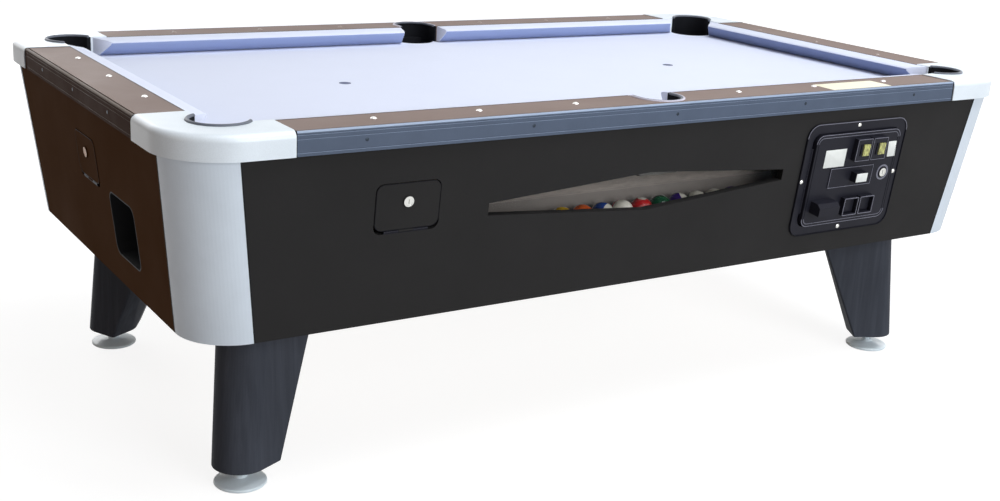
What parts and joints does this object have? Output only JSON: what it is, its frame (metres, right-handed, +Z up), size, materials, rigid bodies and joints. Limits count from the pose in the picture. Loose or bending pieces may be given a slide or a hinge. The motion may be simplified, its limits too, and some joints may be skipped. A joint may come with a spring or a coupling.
{
  "type": "coin-operated pool table",
  "caption": "Coin-operated pool table: leaning cabinet on wedge legs, slate bed with pale cloth, six pockets, ball window, coin door and levelling feet.",
  "frame": {"origin": "on the floor under the middle of the table", "axes": "+X along the table's length, +Y across it towards the side without the coin door, +Z up"},
  "size_m": [2.362, 1.3381, 0.8235],
  "materials": {
    "cabinet_laminate": "charcoal high-pressure laminate on board, satin",
    "leg_laminate": "charcoal laminate with a faint brushed grain, satin",
    "timber": "plain plywood and softwood, unfinished",
    "satin_trim": "satin silver extrusion",
    "grey_trim": "slate-grey ribbed extrusion with a light rounded top",
    "cap_metal": "smooth bright off-white casting, semi-gloss",
    "rail_laminate": "taupe laminate with a fine grain, satin",
    "slate": "honed grey stone",
    "cloth": "pale blue woollen cloth, tight nap",
    "cushion": "rubber nose under pale blue cloth",
    "liner": "moulded black rubber, matte",
    "run_plastic": "dark moulded plastic",
    "pane": "clear acrylic sheet",
    "ball_resin": "polished cast resin",
    "black_steel": "black powder coat",
    "nickel": "bright nickel plate",
    "zinc": "satin zinc plate",
    "button_plastic": "translucent amber plastic",
    "mech_plastic": "grey moulded plastic"
  },
  "bodies": {
    "table": {"front_panel": "cabinet_laminate", "back_panel": "cabinet_laminate", "left_end_panel": "cabinet_laminate", "right_end_panel": "cabinet_laminate", "cabinet_floor": "timber", "corner_posts": "timber", "corner_trim_front_left": "satin_trim", "corner_trim_front_right": "satin_trim", "corner_trim_back_left": "satin_trim", "corner_trim_back_right": "satin_trim", "slate_frame": "timber", "support_cleats": "timber", "slate": "slate", "bed_cloth": "cloth", "rail_front": "rail_laminate", "rail_back": "rail_laminate", "rail_left": "rail_laminate", "rail_right": "rail_laminate", "rail_trims": "grey_trim", "corner_cap_front_left": "cap_metal", "corner_cap_front_right": "cap_metal", "corner_cap_back_left": "cap_metal", "corner_cap_back_right": "cap_metal", "end_cushions": "cushion", "side_cushions": "cushion", "corner_pocket_liners": "liner", "side_pocket_liners": "liner", "leg_front_left": "leg_laminate", "leg_front_right": "leg_laminate", "leg_back_left": "leg_laminate", "leg_back_right": "leg_laminate", "leg_inserts": "zinc", "leg_bolts": "zinc", "rail_bolts": "nickel", "window_pane": "pane", "ball_rack": "run_plastic", "ball_set": "ball_resin", "ball_runs": "run_plastic", "cue_ball_cup": "run_plastic", "cash_box": "zinc", "coin_door_frame": "black_steel", "hinge_pins": "zinc", "hinge_leaves": "black_steel", "coin_door_bolts": "nickel"},
    "coin_door": {"coin_door": "black_steel", "coin_mechs": "mech_plastic"},
    "coin_door_lock": {"coin_door_lock": "nickel"},
    "reject_button_left": {"reject_button_left": "button_plastic"},
    "reject_button_right": {"reject_button_right": "button_plastic"},
    "return_flap_left": {"return_flap_left": "black_steel"},
    "return_flap_right": {"return_flap_right": "black_steel"},
    "front_access_door": {"front_access_door": "black_steel"},
    "front_door_lock": {"front_door_lock": "nickel"},
    "end_access_door": {"end_access_door": "black_steel"},
    "end_door_lock": {"end_door_lock": "nickel"},
    "ball_gate": {"ball_gate": "zinc"},
    "leveler_front_left": {"leveler_front_left": "zinc"},
    "leveler_front_right": {"leveler_front_right": "zinc"},
    "leveler_back_left": {"leveler_back_left": "zinc"},
    "leveler_back_right": {"leveler_back_right": "zinc"}
  },
  "joints": [
    {"name": "coin_door_hinge", "type": "hinge", "parent": "table", "child": "coin_door", "pos_m": [0.465, -0.63443, 0.58522], "axis": [0, 0.111, -0.9938], "range_deg": [0, 90]},
    {"name": "coin_door_lock_turn", "type": "hinge", "parent": "coin_door", "child": "coin_door_lock", "pos_m": [0.73, -0.63251, 0.5905], "axis": [0, -0.9938, -0.111], "range_deg": [0, 90]},
    {"name": "front_access_door_hinge", "type": "hinge", "parent": "table", "child": "front_access_door", "pos_m": [-0.677, -0.63045, 0.58652], "axis": [1, 0, 0], "range_deg": [0, 90]},
    {"name": "front_door_lock_turn", "type": "hinge", "parent": "front_access_door", "child": "front_door_lock", "pos_m": [-0.677, -0.63926, 0.65094], "axis": [0, -0.9938, -0.111], "range_deg": [0, 90]},
    {"name": "end_access_door_hinge", "type": "hinge", "parent": "table", "child": "end_access_door", "pos_m": [-1.14445, 0, 0.58652], "axis": [0, -1, 0], "range_deg": [0, 90]},
    {"name": "end_door_lock_turn", "type": "hinge", "parent": "end_access_door", "child": "end_door_lock", "pos_m": [-1.15326, 0, 0.65094], "axis": [-0.9938, 0, -0.111], "range_deg": [0, 90]},
    {"name": "ball_gate_hinge", "type": "hinge", "parent": "table", "child": "ball_gate", "pos_m": [-0.1, -0.3, 0.645], "axis": [0, 1, 0], "range_deg": [0, 60]},
    {"name": "return_flap_left_hinge", "type": "hinge", "parent": "coin_door", "child": "return_flap_left", "pos_m": [0.622, -0.63921, 0.52435], "axis": [1, 0, 0], "range_deg": [0, 60]},
    {"name": "return_flap_right_hinge", "type": "hinge", "parent": "coin_door", "child": "return_flap_right", "pos_m": [0.679, -0.63921, 0.52435], "axis": [1, 0, 0], "range_deg": [0, 60]},
    {"name": "reject_button_left_press", "type": "slide", "parent": "coin_door", "child": "reject_button_left", "axis": [0, 0.9938, 0.111], "range_m": [0, 0.003], "stiffness_N_per_m": 400, "springref_m": -0.002},
    {"name": "reject_button_right_press", "type": "slide", "parent": "coin_door", "child": "reject_button_right", "axis": [0, 0.9938, 0.111], "range_m": [0, 0.003], "stiffness_N_per_m": 400, "springref_m": -0.002},
    {"name": "leveler_front_left_screw", "type": "slide", "parent": "table", "child": "leveler_front_left", "axis": [0, 0, 1], "range_m": [-0.02, 0]},
    {"name": "leveler_front_right_screw", "type": "slide", "parent": "table", "child": "leveler_front_right", "axis": [0, 0, 1], "range_m": [-0.02, 0]},
    {"name": "leveler_back_left_screw", "type": "slide", "parent": "table", "child": "leveler_back_left", "axis": [0, 0, 1], "range_m": [-0.02, 0]},
    {"name": "leveler_back_right_screw", "type": "slide", "parent": "table", "child": "leveler_back_right", "axis": [0, 0, 1], "range_m": [-0.02, 0]}
  ]
}
